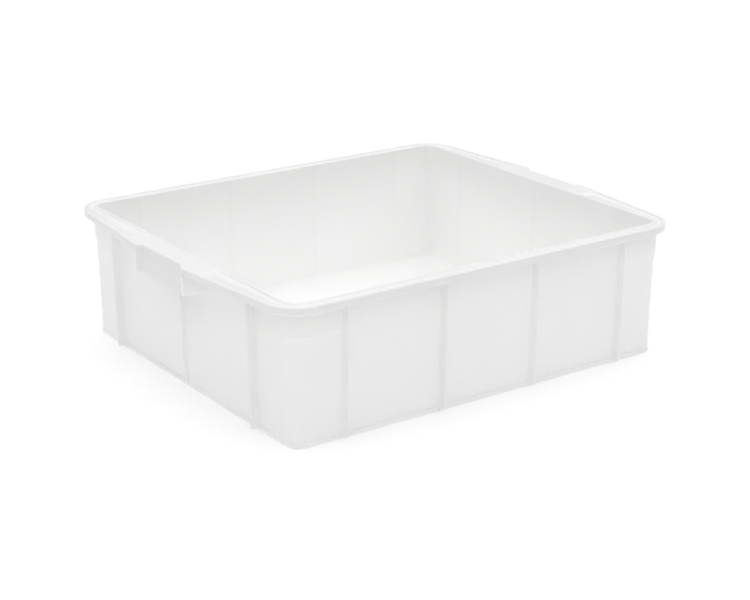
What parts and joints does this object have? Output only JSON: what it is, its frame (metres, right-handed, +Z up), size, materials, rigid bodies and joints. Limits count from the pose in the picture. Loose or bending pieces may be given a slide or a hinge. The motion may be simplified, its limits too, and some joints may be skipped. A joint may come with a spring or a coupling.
{
  "type": "stacking crate",
  "caption": "Low open rectangular stacking crate in natural translucent plastic, with ribbed walls, a turned-down rim and shell handles on the short sides.",
  "frame": {"origin": "under the middle of the crate, on the plane that the foot ring stands on", "axes": "+X along the long side towards the right-hand handle, +Y across the crate towards the back long wall, +Z up"},
  "size_m": [0.6, 0.5, 0.17],
  "materials": {
    "natural_polyethylene": "natural, slightly translucent milky white, satin as moulded, with a soft gloss on the rim"
  },
  "bodies": {
    "root": {"floor_panel": "natural_polyethylene", "foot_ring": "natural_polyethylene", "wall_front": "natural_polyethylene", "wall_back": "natural_polyethylene", "wall_left": "natural_polyethylene", "wall_right": "natural_polyethylene", "corner_front_left": "natural_polyethylene", "corner_front_right": "natural_polyethylene", "corner_back_left": "natural_polyethylene", "corner_back_right": "natural_polyethylene", "shoulder_front_left": "natural_polyethylene", "shoulder_front_right": "natural_polyethylene", "shoulder_back_left": "natural_polyethylene", "shoulder_back_right": "natural_polyethylene", "rib_front_1": "natural_polyethylene", "rib_front_2": "natural_polyethylene", "rib_front_3": "natural_polyethylene", "rib_front_4": "natural_polyethylene", "rib_back_1": "natural_polyethylene", "rib_back_2": "natural_polyethylene", "rib_back_3": "natural_polyethylene", "rib_back_4": "natural_polyethylene", "rib_left_front": "natural_polyethylene", "rib_left_middle": "natural_polyethylene", "rib_left_back": "natural_polyethylene", "rib_right_front": "natural_polyethylene", "rib_right_middle": "natural_polyethylene", "rib_right_back": "natural_polyethylene", "rim_front": "natural_polyethylene", "rim_back": "natural_polyethylene", "rim_left": "natural_polyethylene", "rim_right": "natural_polyethylene", "rim_corner_front_left": "natural_polyethylene", "rim_corner_front_right": "natural_polyethylene", "rim_corner_back_left": "natural_polyethylene", "rim_corner_back_right": "natural_polyethylene", "skirt_front": "natural_polyethylene", "skirt_back": "natural_polyethylene", "skirt_left_front": "natural_polyethylene", "skirt_left_back": "natural_polyethylene", "skirt_right_front": "natural_polyethylene", "skirt_right_back": "natural_polyethylene", "skirt_corner_front_left": "natural_polyethylene", "skirt_corner_front_right": "natural_polyethylene", "skirt_corner_back_left": "natural_polyethylene", "skirt_corner_back_right": "natural_polyethylene", "handle_face_left": "natural_polyethylene", "handle_face_right": "natural_polyethylene", "handle_cheek_left_front": "natural_polyethylene", "handle_cheek_left_back": "natural_polyethylene", "handle_cheek_right_front": "natural_polyethylene", "handle_cheek_right_back": "natural_polyethylene"}
  },
  "joints": []
}
